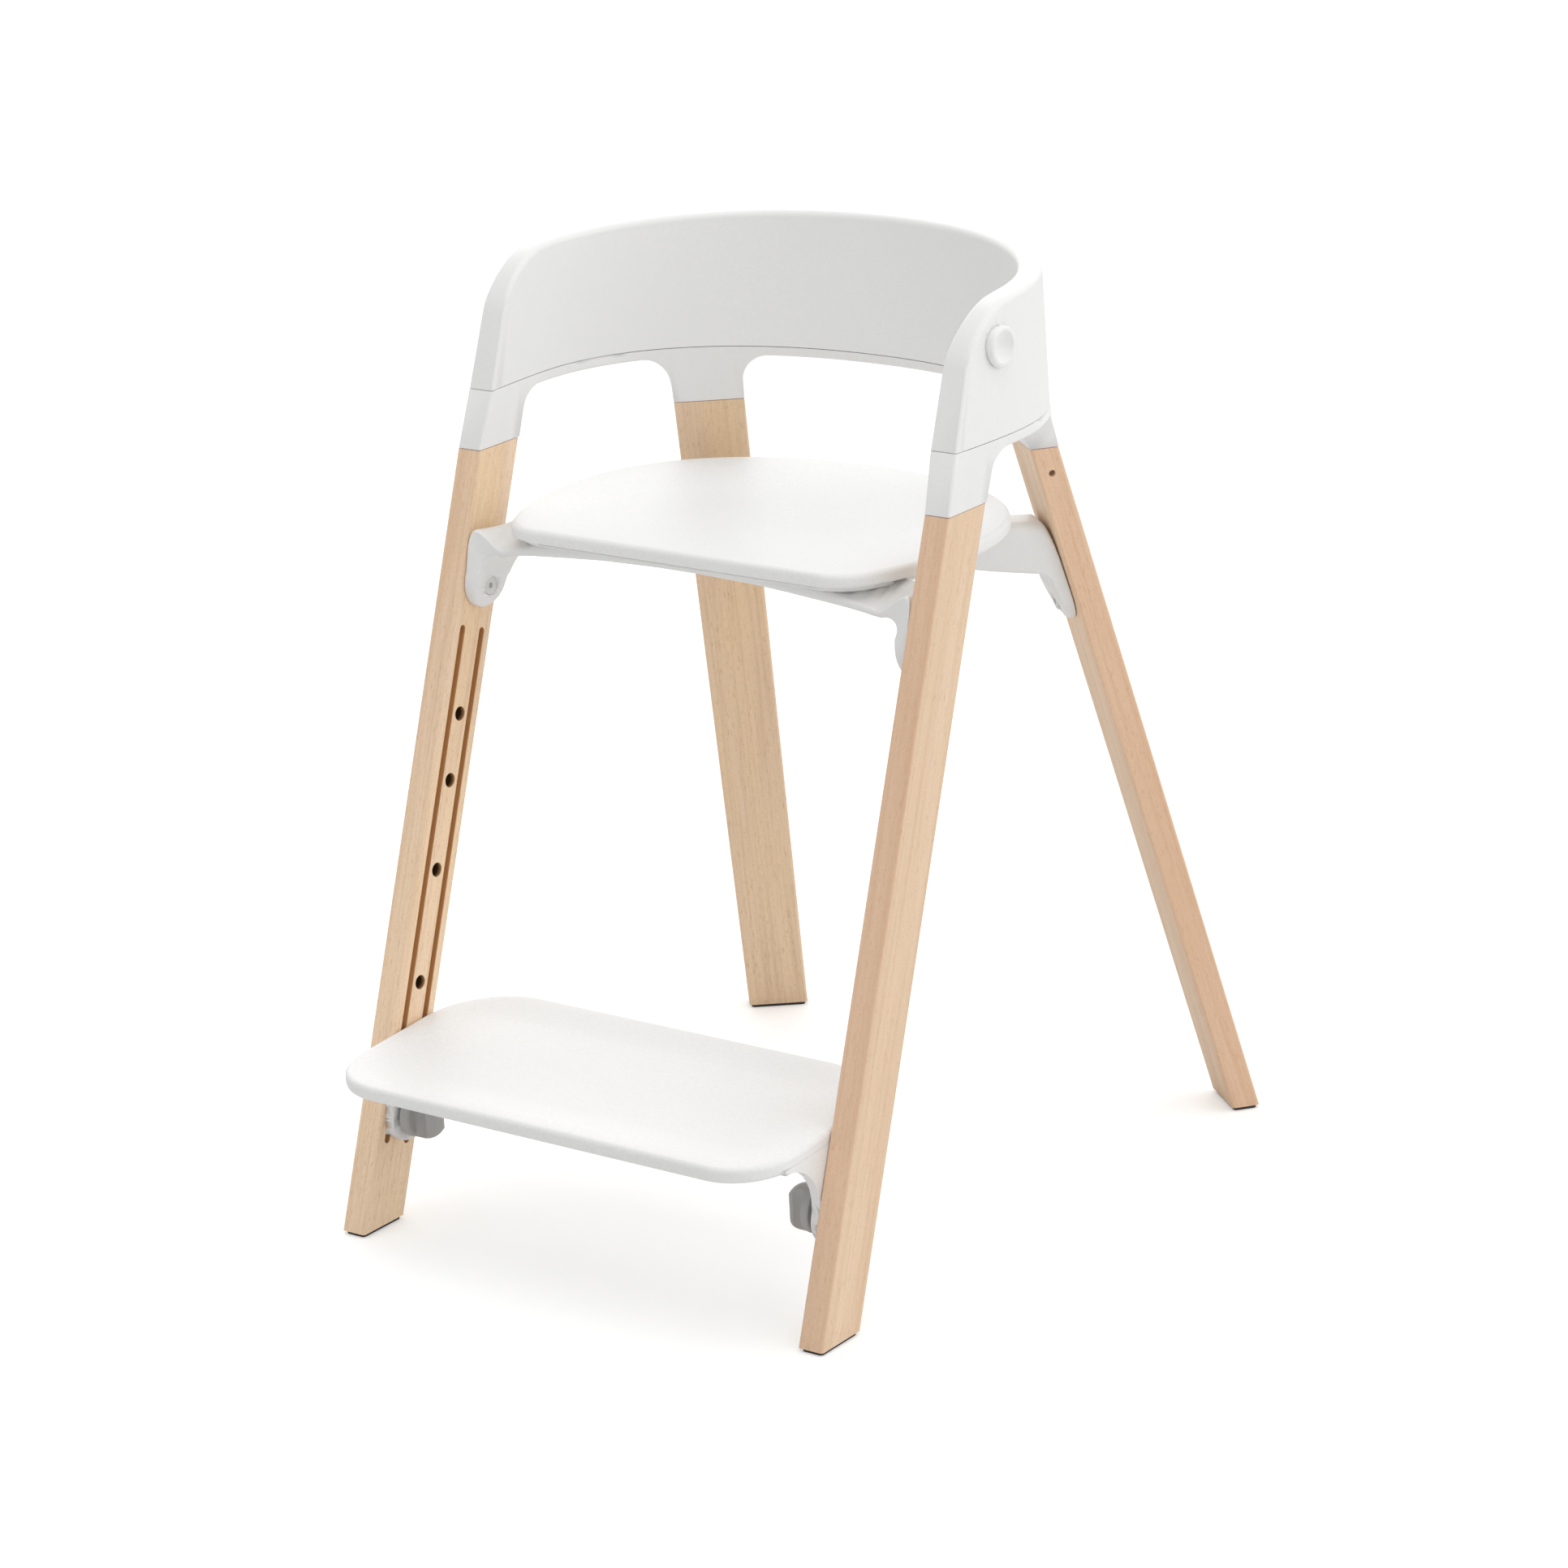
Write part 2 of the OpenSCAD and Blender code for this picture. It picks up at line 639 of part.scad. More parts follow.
// Round discs on the outside of the backrest
disc_y = ring_wide - disc_fwd;
disc_z = joint_z + disc_up;
disc_t = disc_up / back_h;
wall_out_x = lerp(ring_a, rim_a, disc_t) - toe_in * pow(disc_fwd / side_len, 2);
disc_x = wall_out_x + disc_out;
disc_seat = 2;
disc_pin_len = 9;
disc_rim = 2;
disc_clear = 1.2;
disc_neck_d = disc_d - 1;

module disc_place() {
    translate([0, disc_y, disc_z]) children();
}

module backrest() {
    color(white) centred() difference() {
        skin(mirror_back([for (s = back_stations) back_section(s)]));
        both_sides() disc_place() {
            x_rod(wall_out_x - disc_seat, disc_x, disc_neck_d + 2 * slide_gap);
            x_rod(wall_out_x - disc_seat - disc_pin_len - 0.5, disc_x, disc_pin_d + 2 * fit_gap);
        }
        at_ring_screws() translate([0, 0, -1]) cylinder(h = ring_screw_len + 2, d = small_d + 2 * fit_gap);
    }
}

// Disc with a rounded rim and a hollow face, on a slightly narrower neck; its spigot points into the wall
module disc() {
    r = disc_d / 2;
    neck = disc_out - disc_clear;
    dish = dish_d / 2;
    ball = (dish * dish + dish_h * dish_h) / (2 * dish_h);
    open = asin(dish / ball);
    back = disc_out + disc_seat - slide_gap;
    disc_place() translate([disc_x, 0, 0]) rotate([0, 90, 0]) {
        rotate_extrude() polygon(concat(
            [[0, -back], [disc_neck_d / 2, -back], [disc_neck_d / 2, -neck], [r, -neck]],
            [for (a = [0:15:90]) [r - disc_rim + disc_rim * cos(a), -disc_rim + disc_rim * sin(a)]],
            [for (k = [0:6]) let (a = open * (1 - k / 6)) [ball * sin(a), ball * (cos(open) - cos(a))]]));
        translate([0, 0, -back - disc_pin_len + 1]) cylinder(h = disc_pin_len, d = disc_pin_d);
    }
}

module right_disc() {
    color(white) centred() disc();
}

module left_disc() {
    color(white) centred() mirror([1, 0, 0]) disc();
}

module ring_screws() {
    color(steel) centred() at_ring_screws() translate([0, 0, head_sink])
        up_screw(ring_screw_len, small_d, ring_head_d, ring_head_h, 0);
}

// Seat outline, from the widest place: a round back half, and sides that draw in towards a straight front
seat_back_y = back_inner - slide_gap;
seat_mid = seat_back_y - seat_wide;
seat_front_len = seat_d - seat_wide;
seat_n = 2.25;
seat_round = seat_front_len - seat_corner;

function seat_side(d) = [seat_w / 2 - seat_taper * pow(d / seat_front_len, 2)
    - (d > seat_round ? seat_corner - sqrt(max(0, pow(seat_corner, 2) - pow(d - seat_round, 2))) : 0), -d];

seat_front_half = concat([for (k = [1:5]) seat_side(seat_round * k / 5)],
    [for (a = [15:15:90]) seat_side(seat_round + seat_corner * sin(a))]);
seat_back_half = [for (a = [0:5:90])
    [seat_w / 2 * power(cos(a), 2 / seat_n), seat_wide * power(sin(a), 2 / seat_n)]];
seat_plan = concat(
    [for (i = [len(seat_front_half) - 1:-1:0]) seat_front_half[i]],
    seat_back_half,
    [for (i = [len(seat_back_half) - 2:-1:0]) [-seat_back_half[i][0], seat_back_half[i][1]]],
    [for (p = seat_front_half) [-p[0], p[1]]]);

// The outline drawn in by an inset, scaled towards the widest place's middle
function seat_ring(inset, z) = [for (p = seat_plan)
    [p[0] * (1 - 2 * inset / seat_w),
        seat_mid + p[1] * (1 - inset / (p[1] > 0 ? seat_wide : seat_front_len)), z]];

seat_r = 3.8;
seat_r_low = 2.5;
function ease(t) = t * t * (3 - 2 * t);

module seat() {
    soft = seat_d / 2 - 14;
    color(white) centred() difference() {
        skin(concat(
            [for (a = [-90:30:0]) seat_ring(seat_r_low * (1 - cos(a)), seat_low + seat_r_low * (1 + sin(a)))],
            [for (a = [0:22.5:90]) seat_ring(seat_r * (1 - cos(a)), seat_h - seat_r + seat_r * sin(a))],
            [for (t = [0.15, 0.3, 0.45, 0.6, 0.75, 0.9]) seat_ring(lerp(seat_r, soft, t),
                seat_h - seat_dish * ease(min(1, t * 1.05)))]));
        at_seat_screws() translate([0, 0, -1])
            cylinder(h = seat_screw_len - plate_t + 1.5, d = small_d + 2 * fit_gap);
    }
}

seat_screw_len = plate_t + 3.6;
seat_screw_x = seat_w * 0.26;

module at_seat_screws() {
    for (y = [seat_mid - seat_d * 0.22, seat_mid + seat_d * 0.27])
        both_sides() translate([seat_screw_x, y, seat_low]) children();
}

module seat_screws() {
    color(steel) centred() at_seat_screws() translate([0, 0, -plate_t]) {
        translate([0, 0, -2.2]) cylinder(h = 2.2, d = small_d * 2);
        cylinder(h = seat_screw_len, d = small_d);
    }
}

// Seat frame: a plate under the seat and four arms that end in pads on the legs
// An arm is lofted through cross-sections: out from the plate, down round a knee, and into a round pad.
// A cross-section lies between its inner and its outer point, each [x outwards, z], and reaches front and
// back across the arm from mid, tilted down to the back. Its front edge has only the given share of the
// thickness
function corner_points(y, w, r, from) =
    [for (k = [0:3]) [y + r * cos(from + 30 * k), w + r * sin(from + 30 * k)]];

function arm_ring(inner, outer, mid, front, back, r_in, r_out, share, tilt) =
    let (t = norm(outer - inner), u = (outer - inner) / t, edge = t * share,
        a = min(r_in, edge / 2.2), b = min(r_in, t / 2.2),
        c = min(r_out, t / 2.2), d = min(r_out, edge / 2.2))
    [for (p = concat(corner_points(a - front, a, a, 180), corner_points(back - b, b, b, 270),
        corner_points(back - c, t - c, c, 0), corner_points(d - front, edge - d, d, 90)))
        [inner[0] + u[0] * p[1], mid + p[0] * cos(tilt), inner[1] + u[1] * p[1] - p[0] * sin(tilt)]];

// The leg's face is at x = 0 at the arm's top. With the height it moves out by run, and across by the
// tangent of lean. plate lists [x, top, low, front, back, share]. depth is the arm's height at the knee,
// where the pad is thicker by extra
function arm_loft(plate, depth, knee_r, extra, pad_len, run, lean, top, half, r_top, share) =
    let (r = 3, z_knee = -depth - knee_r, z_end = half - pad_len,
        x_knee = -slide_gap - pad_t - extra - knee_r - z_knee * run)
    concat(
        [for (s = plate)
            arm_ring([s[0], s[2]], [s[0], s[1]], (s[1] + s[2]) / 2 * tan(lean), s[3], s[4],
                r, r_top, s[5], 0)],
        [for (a = [90:-10:0])
            let (z = z_knee + (top - z_knee) * pow(sin(a), 0.4), x = -slide_gap - run * z,
                low = z_knee + knee_r * sin(a))
            arm_ring([x_knee + knee_r * cos(a), low], [x_knee + (x - x_knee) * pow(cos(a), 0.4), z],
                (z + low) / 2 * tan(lean), half, half, r, lerp(0.8, r_top, sin(a)),
                lerp(1, share, pow(sin(a), 12)), lean * cos(a))],
        [for (k = [1:3])
            let (z = lerp(z_knee, z_end, k / 3), x = -slide_gap - run * z,
                t = pad_t + extra * (z + pad_len) / (z_knee + pad_len))
            arm_ring([x - t, z], [x, z], z * tan(lean), half, half, r, 0.8, 1, lean)],
        [for (a = [15:15:90])
            let (z = z_end - half * sin(a), w = max(0.8, half * cos(a)), x = -slide_gap - run * z,
                t = pad_t + extra * (z + pad_len) / (z_knee + pad_len) - 2.5 * (1 - cos(a)))
            arm_ring([x - t, z], [x, z], z * tan(lean), w, w, min(r, w * 0.9), min(0.8, w * 0.9), 1, lean)]);

// A solid with outline drawn across and up, extruded from x0 outwards
module along_x(x0, x1) {
    translate([x0, 0, 0]) rotate([90, 0, 90]) linear_extrude(x1 - x0) children();
}

// The two front arms meet under the middle of the plate
arm_rise = plate_t - 0.5;

module front_arm() {
    sections = [for (s = [[1.02, 0.07, 0.65, 0.88, 1], [0.9, 0.07, 0.65, 0.88, 1], [0.66, 0.16, 0.65, 0.9, 1],
        [0.5, 0.28, 0.66, 0.86, 1], [0.33, 0.44, 0.66, 0.72, 0.7], [0.26, 0.58, 0.6, 0.58, 0.5],
        [0.21, 0.74, 0.52, 0.49, 0.4], [0.17, 0.9, 0.45, 0.43, 0.33]])
        [-s[0] * x_in, arm_rise, -s[1] * arm_front, s[2] * front_dy, s[3] * front_dy, s[4]]];
    difference() {
        translate([x_in, arm_top * front_run + front_dy / 2, arm_top])
            skin(arm_loft(sections, arm_front, knee_front, pad_extra, pad_front, 0, front_lean, arm_rise,
                leg_w * 0.42, 3, 0.3));
        front_frame() translate([0, front_bolt_y, front_bolt_z]) bolt_holes();
    }
}

// Clearance hole and counterbore of a frame bolt, along x into the leg
module bolt_holes() {
    x_rod(-pad_t * 3, 1, bolt_d + 2 * slide_gap);
    x_rod(-pad_t * 4, -pad_at_bolt - slide_gap + head_h + 0.3, bolt_head_d + 2 * slide_gap);
}

module back_arm() {
    face = back_point(0, back_w_top / 2, arm_top);
    long = norm([face[0], face[1] - seat_mid]) * 0.53;
    half = back_w_top * 0.37;
    sections = [for (s = [[1, 2, 0.36], [0.75, 1.6, 0.6], [0.5, 0.4, 0.81], [0.32, -1.4, 0.9]])
        [-s[0] * long, s[1], -s[2] * arm_back, half, half, 1]];
    difference() {
        translate([face[0], face[1], arm_top]) rotate([0, 0, back_turn])
            skin(arm_loft(sections, arm_back, knee_back, pad_extra, pad_back, tan(back_lean), -back_skew,
                -back_arm_fall, half, 9, 1));
        back_frame() translate([0, back_bolt_y, back_bolt_z]) bolt_holes();
    }
}

module frame_plate() {
    skin([for (q = [[plate_inset + 1.5, plate_low], [plate_inset, plate_low + 1.5], [plate_inset, seat_low]])
        seat_ring(q[0], q[1])]);
}

module seat_frame() {
    color(white) centred() difference() {
        union() {
            frame_plate();
            both_sides() {
                front_arm();
                back_arm();
            }
        }
        at_seat_screws() translate([0, 0, -plate_t - 30])
            cylinder(h = plate_t + 31, d = small_d + 2 * slide_gap);
        at_seat_screws() translate([0, 0, -plate_t - 30]) cylinder(h = 30, d = small_d * 2 + 1);
    }
}

// Bolt with a hexagon socket, its head in the pad's counterbore
module frame_bolt() {
    head_x = -pad_at_bolt - slide_gap + 0.3;
    difference() {
        union() {
            x_rod(head_x, head_x + head_h, bolt_head_d);
            x_rod(head_x + 1, head_x + head_h + shank_len, bolt_d);
        }
        translate([head_x - 1, 0, 0]) rotate([0, 90, 0]) cylinder(h = 3, d = 4.6, $fn = 6);
    }
}

module frame_bolts() {
    color(steel) centred() both_sides() {
        front_frame() translate([0, front_bolt_y, front_bolt_z]) frame_bolt();
        back_frame() translate([0, back_bolt_y, back_bolt_z]) frame_bolt();
    }
}

// Threaded insert: a sleeve pressed into the leg
module frame_insert() {
    difference() {
        x_rod(insert_in, insert_in + insert_len, insert_d);
        x_rod(0, insert_in + insert_len + 1, bolt_d + 2 * fit_gap);
    }
}

module frame_inserts() {
    color(steel) centred() both_sides() {
        front_frame() translate([0, front_bolt_y, front_bolt_z]) frame_insert();
        back_frame() translate([0, back_bolt_y, back_bolt_z]) frame_insert();
    }
}

// Footrest plate: its outline is a rectangle with two sizes of corner
foot_half = x_in - slide_gap - 0.3;
foot_steps = 12;

function foot_outline(inset, z) = [for (q = [0:3], k = [0:foot_steps])
    let (back = q < 2, left = q == 1 || q == 2, R = back ? foot_r_back : foot_r_front,
        cx = (left ? -1 : 1) * (foot_half - R), cy = back ? foot_d - R : R,
        a = 90 * q + 90 * k / foot_steps, r = max(R - inset, 0.5))
    [cx + r * cos(a), cy + r * sin(a), z]];

foot_edge_r = 3.5;
foot_low_r = 2.5;

module foot_plate() {
    soft = foot_r_front - 4;
    translate([0, -foot_fwd, foot_h]) rotate([foot_slope, 0, 0]) skin(concat(
        [for (a = [-90:30:0]) foot_outline(foot_low_r * (1 - cos(a)), -foot_t + foot_low_r * (1 + sin(a)))],
        [for (a = [0:22.5:90]) foot_outline(foot_edge_r * (1 - cos(a)), -foot_edge_r + foot_edge_r * sin(a))],
        [for (t = [0.2, 0.4, 0.6, 0.8, 1]) foot_outline(lerp(foot_edge_r, soft, t), -foot_dish * ease(t))]));
}

// Height of the plate's underside at distance y from the front feet
function foot_under(y) = foot_h - foot_t / cos(foot_slope) + (y + foot_fwd) * tan(foot_slope);

tab_x = -slide_gap - tab_t;
hole_y = hole_1 * sin(front_lean) + leg_w / 2 * cos(front_lean);
rib_low = hole_1 - 17;
rib_top = hole_1 + 44;
tab_drop = 20;
bush_d = 17;
tab_fillet = 9;
flare_r = 33;
tab_reach = 2 * tab_w;
tab_low = hole_1 - tab_drop;

// Distance up the leg at which the plate's underside lies, for a place across the leg
function under_along(across) =
    (foot_under(0) + across * (sin(front_lean) + tan(foot_slope) * cos(front_lean)))
    / (cos(front_lean) - tan(foot_slope) * sin(front_lean));

// Web in front of the tab that flares out under the plate, drawn across and up the leg
function flare_web() =
    let (edge = leg_w / 2 - tab_w / 2, turn = front_lean + foot_slope,
        c = [edge - flare_r, under_along(edge) - flare_r * (1 + sin(turn)) / cos(turn)])
    concat(
        [[edge + 2, c[1]]],
        [for (k = [0:9]) let (a = (90 + turn) * k / 9) c + flare_r * [cos(a), sin(a)]],
        [c + (flare_r + 3) * [cos(90 + turn), sin(90 + turn)], [edge + 2, under_along(edge + 2) + 3]]);

// Right tab: its side view with a fillet under the plate, cut to a leaning strip with a round lower end
module foot_tab() {
    under = foot_under(hole_y);
    intersection() {
        translate([x_in, hole_y, under]) rotate([foot_slope, 0, 0]) translate([0, cut, 0])
            rotate([90, 0, 0]) linear_extrude(2 * cut) polygon(concat(
                [[-slide_gap, -cut], [-slide_gap, foot_t / 2], [tab_x - tab_fillet, foot_t / 2]],
                [for (k = [0:6]) let (a = 90 - 15 * k)
                    [tab_x - tab_fillet * (1 - cos(a)), -tab_fillet * (1 - sin(a))]],
                [[tab_x, -cut]]));
        front_frame() {
            translate([-tab_reach, leg_w / 2 - tab_w / 2, tab_low + tab_w / 2])
                cube([tab_reach + tab_t, tab_w, 3 * tab_w]);
            translate([0, leg_w / 2, tab_low + tab_w / 2]) x_rod(-tab_reach, tab_t, tab_w);
            along_x(-tab_reach, tab_t) polygon(flare_web());
        }
    }
    // Two ribs that run in the leg's grooves
    front_frame() for (y = [leg_w / 2 - groove_gap / 2, leg_w / 2 + groove_gap / 2])
        translate([-slide_gap - 1, y - groove_w / 2 + slide_gap, rib_low])
            cube([groove_depth + 1, groove_w - 2 * slide_gap, rib_top - rib_low]);
}

module footrest() {
    color(white) centred() difference() {
        union() {
            foot_plate();
            both_sides() foot_tab();
        }
        both_sides() front_frame() translate([0, leg_w / 2, hole_1])
            x_rod(-4 * tab_t, 1, bush_d + 2 * fit_gap);
    }
}

module thread_bush() {
    difference() {
        x_rod(tab_x, -slide_gap, bush_d);
        x_rod(tab_x - 1, 1, screw_d + 2 * fit_gap);
    }
}

module thread_bushes() {
    color(steel) centred() both_sides()
        front_frame() translate([0, leg_w / 2, hole_1]) thread_bush();
}

// Locking screw, drawn slack: its nose stands just clear of the leg's hole
screw_travel = pitch * turns;
nose_len = screw_travel + 0.6;
nose_tip = -slide_gap - 0.1;
nose_d = hole_d - 2 * slide_gap;
knob_low = tab_x - screw_travel - 0.5;

module locking_screw() {
    translate([0, leg_w / 2, hole_1]) {
        x_rod(nose_tip - nose_len, nose_tip, nose_d);
        x_rod(knob_low - screw_in_knob, nose_tip - nose_len, screw_d);
    }
}

module left_screw() {
    color(steel) centred() mirror([1, 0, 0]) front_frame() locking_screw();
}

module right_screw() {
    color(steel) centred() front_frame() locking_screw();
}

// Knob: a round base with a straight grip across it. The grip's ends and edges are rounded, and it has a
// shallow waist next to the base
knob_base = 6.5;
grip_w = 16;
grip_r = 5;
grip_end_r = 9;
waist = 1.8;
waist_r = 10;
screw_in_knob = 8;

// half outline of a dome with a flat top, for turning
function dome_side(r, h, edge_r) = concat([[0, 0], [r, 0]],
    [for (a = [0:10:90]) [r - edge_r + edge_r * cos(a), h - edge_r + edge_r * sin(a)]], [[0, h]]);

// grip seen from above, with a waist next to the base
module grip_top_view() {
    difference() {
        translate([0, -grip_w / 2]) round_rect(knob_h - 1, grip_w, grip_r);
        for (side = [-1, 1]) translate([knob_h - knob_base - 4.5, side * (grip_w / 2 + waist_r - waist)])
            circle(waist_r, $fn = 96);
    }
}

module knob() {
    translate([0, leg_w / 2, hole_1]) rotate([front_lean, 0, 0]) difference() {
        union() {
            translate([knob_low, 0, 0]) rotate([0, -90, 0]) rotate_extrude()
                polygon([[0, 0], [knob_d / 2 - 0.8, 0], [knob_d / 2, 0.8], [knob_d / 2, knob_base - 2.5],
                    [knob_d / 2 - 0.7, knob_base - 0.7], [knob_d / 2 - 2.5, knob_base], [0, knob_base]]);
            intersection() {
                translate([knob_low - knob_h, 0, -knob_d / 2]) linear_extrude(knob_d) grip_top_view();
                translate([knob_low, 0, 0]) rotate([0, -90, 0]) rotate_extrude()
                    polygon(dome_side(knob_d / 2 - 0.5, knob_h, grip_end_r));
            }
        }
        x_rod(knob_low - screw_in_knob - fit_gap, knob_low + 1, screw_d + 2 * fit_gap);
    }
}

module left_knob() {
    color(grey) centred() mirror([1, 0, 0]) front_frame() knob();
}

module right_knob() {
    color(grey) centred() front_frame() knob();
}

front_left_leg();
front_right_leg();
back_left_leg();
back_right_leg();
front_left_glide();
front_right_glide();
back_left_glide();
back_right_glide();
leg_ring();
backrest();
left_disc();
right_disc();
ring_screws();
lock_pins();
seat_frame();
frame_bolts();
frame_inserts();
seat();
seat_screws();
footrest();
thread_bushes();
left_screw();
right_screw();
left_knob();
right_knob();
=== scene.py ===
# %% [markdown]
# This file dresses a child's high chair. The solid parts were made in CAD and come in as a fixed
# frame: four slanted beech boards, a white moulded ring with a low backrest, a thin seat in its
# frame, and a footrest with two clamping knobs. Everything could be modelled anew here, but the CAD
# parts already have the true sizes and joints. So Blender only adds the finish of every surface,
# smooth shells, soft studio light and the camera. Nothing here moves or resizes a part.

# %% Load the chair
import json
import math
import bmesh
import bpy
from mathutils import Matrix, Vector

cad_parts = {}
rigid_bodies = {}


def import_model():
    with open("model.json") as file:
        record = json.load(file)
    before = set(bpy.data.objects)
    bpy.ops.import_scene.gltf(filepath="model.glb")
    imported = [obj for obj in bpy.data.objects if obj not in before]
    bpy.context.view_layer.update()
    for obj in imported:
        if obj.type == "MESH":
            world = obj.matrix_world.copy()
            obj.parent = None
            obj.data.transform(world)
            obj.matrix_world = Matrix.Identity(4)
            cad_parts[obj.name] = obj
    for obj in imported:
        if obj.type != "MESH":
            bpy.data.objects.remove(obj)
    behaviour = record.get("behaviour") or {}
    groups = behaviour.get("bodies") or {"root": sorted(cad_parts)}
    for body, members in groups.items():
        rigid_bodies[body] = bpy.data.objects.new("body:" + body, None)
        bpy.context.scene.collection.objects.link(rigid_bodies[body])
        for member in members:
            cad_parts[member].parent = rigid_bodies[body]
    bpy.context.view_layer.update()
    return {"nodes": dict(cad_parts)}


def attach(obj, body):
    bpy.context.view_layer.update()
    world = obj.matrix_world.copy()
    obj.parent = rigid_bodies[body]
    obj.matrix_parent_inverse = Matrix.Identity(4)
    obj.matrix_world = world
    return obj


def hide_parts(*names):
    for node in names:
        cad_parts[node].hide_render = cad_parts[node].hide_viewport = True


for start_object in list(bpy.data.objects):
    bpy.data.objects.remove(start_object)
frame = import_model()
nodes = frame["nodes"]
print("parts loaded:", len(nodes))

# %% [markdown]
# Every finish below is a small network of nodes that feeds one shader. It could be drawn by hand in
# the shader editor. Written down, it is the same each time, and a few helpers keep it short: one
# adds a node, one joins two sockets, and one starts a material.

# %% Start a material
def add_node(material, kind, **inputs):
    node = material.node_tree.nodes.new(kind)
    for name, value in inputs.items():
        node.inputs[name.replace("_", " ")].default_value = value
    return node


def join(material, source, target):
    material.node_tree.links.new(source, target)


def start_material(name, colour, roughness, metallic=0.0):
    """A new material, its shader, and the place of each point on the chair in metres."""
    material = bpy.data.materials.new(name)
    material.use_nodes = True
    shader = material.node_tree.nodes["Principled BSDF"]
    shader.inputs["Base Color"].default_value = (*colour, 1)
    shader.inputs["Roughness"].default_value = roughness
    shader.inputs["Metallic"].default_value = metallic
    where = add_node(material, "ShaderNodeTexCoord").outputs["Object"]
    return material, shader, where


print("a material starts with", start_material.__name__)

# %% [markdown]
# Wood grain, mould grain and plating are all uneven in a random way. Photographs of surfaces could
# be wrapped round the parts, but they would need seams and stretch at the ends. Noise in space needs
# neither: it is cut by each surface as real wood is, and its size is set in metres. Noise is pulled
# long by stretching the place that it reads, and sharpened by mapping a part of its range.

# %% Patterns in space
def stretched(material, where, turn, scale):
    """The place on the part, turned into the part's own directions and then stretched."""
    turned = add_node(material, "ShaderNodeMapping")
    turned.inputs["Rotation"].default_value = turn
    join(material, where, turned.inputs["Vector"])
    pulled = add_node(material, "ShaderNodeMapping")
    pulled.inputs["Scale"].default_value = scale
    join(material, turned.outputs["Vector"], pulled.inputs["Vector"])
    return pulled.outputs["Vector"]


def noise(material, where, scale, detail=3.0, rough=0.5, twist=0.0):
    texture = add_node(material, "ShaderNodeTexNoise", Scale=scale, Detail=detail,
                       Roughness=rough, Distortion=twist)
    join(material, where, texture.inputs["Vector"])
    return texture.outputs["Fac"]


def between(material, value, low, high, to_low=0.0, to_high=1.0):
    """Maps low..high on a value to to_low..to_high, and holds it there outside."""
    mapped = add_node(material, "ShaderNodeMapRange")
    mapped.inputs["From Min"].default_value = low
    mapped.inputs["From Max"].default_value = high
    mapped.inputs["To Min"].default_value = to_low
    mapped.inputs["To Max"].default_value = to_high
    join(material, value, mapped.inputs["Value"])
    return mapped.outputs["Result"]


print("patterns can be stretched, mapped and read as noise")

# %% [markdown]
# A pattern becomes visible in two ways. It is the share in a mix of two colours, and it is a height
# that tilts the light on the surface. Real relief would need millions of faces for grain that is a
# few hundredths of a millimetre deep, so a bump takes its place.

# %% Colours and relief
def mixed(material, share, first, second):
    """A colour between first and second. Each is a colour or the output of another node."""
    mix = material.node_tree.nodes.new("ShaderNodeMix")
    mix.data_type = "RGBA"
    join(material, share, mix.inputs["Factor"])
    for place, colour in (("A", first), ("B", second)):
        socket = [s for s in mix.inputs if s.name == place and s.type == "RGBA"][0]
        if isinstance(colour, tuple):
            socket.default_value = (*colour, 1)
        else:
            join(material, colour, socket)
    return [s for s in mix.outputs if s.type == "RGBA"][0]


def multiply(material, first, second):
    node = material.node_tree.nodes.new("ShaderNodeMath")
    node.operation = "MULTIPLY"
    join(material, first, node.inputs[0])
    if isinstance(second, float):
        node.inputs[1].default_value = second
    else:
        join(material, second, node.inputs[1])
    return node.outputs["Value"]


def raise_grain(material, shader, height, depth):
    """Bump from a height between 0 and 1 that stands for depth metres."""
    bump = add_node(material, "ShaderNodeBump", Strength=1.0, Distance=depth)
    join(material, height, bump.inputs["Height"])
    join(material, bump.outputs["Normal"], shader.inputs["Normal"])


def paint(piece, material):
    piece.data.materials.clear()
    piece.data.materials.append(material)


print("colours can be mixed, and grain raised")

# %% [markdown]
# The legs are boards of light beech. The grain of a board runs along it, but each leg leans its own
# way: the front boards lean back, and the back boards are turned as well and splay outwards. The
# grain could be laid in a UV map. It is easier to give each board its own directions, across,
# through and along, because one noise then runs through all six faces without a seam.

# %% Directions of a leg
front_lean = math.radians(19.4)
back_turn = math.radians(51)
back_lean = math.radians(15.7)
back_skew = math.radians(3.3)


def front_axes():
    along = Vector((0, math.sin(front_lean), math.cos(front_lean)))
    through = Vector((1, 0, 0))
    return through.cross(along), through, along


def back_axes(side):
    through = Vector((side * math.cos(back_turn) * math.cos(back_lean),
                      math.sin(back_turn) * math.cos(back_lean), math.sin(back_lean)))
    up = (Vector((0, 0, 1)) - through * through.z).normalized()
    along = Matrix.Rotation(side * back_skew, 3, through) @ up
    return through.cross(along), through, along


for name, axes in (("front", front_axes()), ("back right", back_axes(1))):
    print(name, "leg runs along", [round(v, 3) for v in axes[2]])

# %% [markdown]
# Beech shows slow streaks of paler and darker wood along the board, fine dark lines where the growth
# rings are cut, many short flecks, and slow patches of yellower wood. Wave textures give rings that
# look drawn, so each of these is a noise that is stretched along the board by its own amount. The
# last noise isn't stretched and gives the pores.

# %% Figure of the wood
plain_beech = (0.84, 0.63, 0.45)
pale_beech = (0.905, 0.7, 0.512)
deep_beech = (0.81, 0.58, 0.395)
yellow_beech = (0.905, 0.675, 0.42)
ring_brown = (0.64, 0.41, 0.24)
pore_brown = (0.6, 0.36, 0.19)
fleck_brown = (0.52, 0.26, 0.1)
ring_share, pore_share, fleck_share = 0.36, 0.16, 0.36


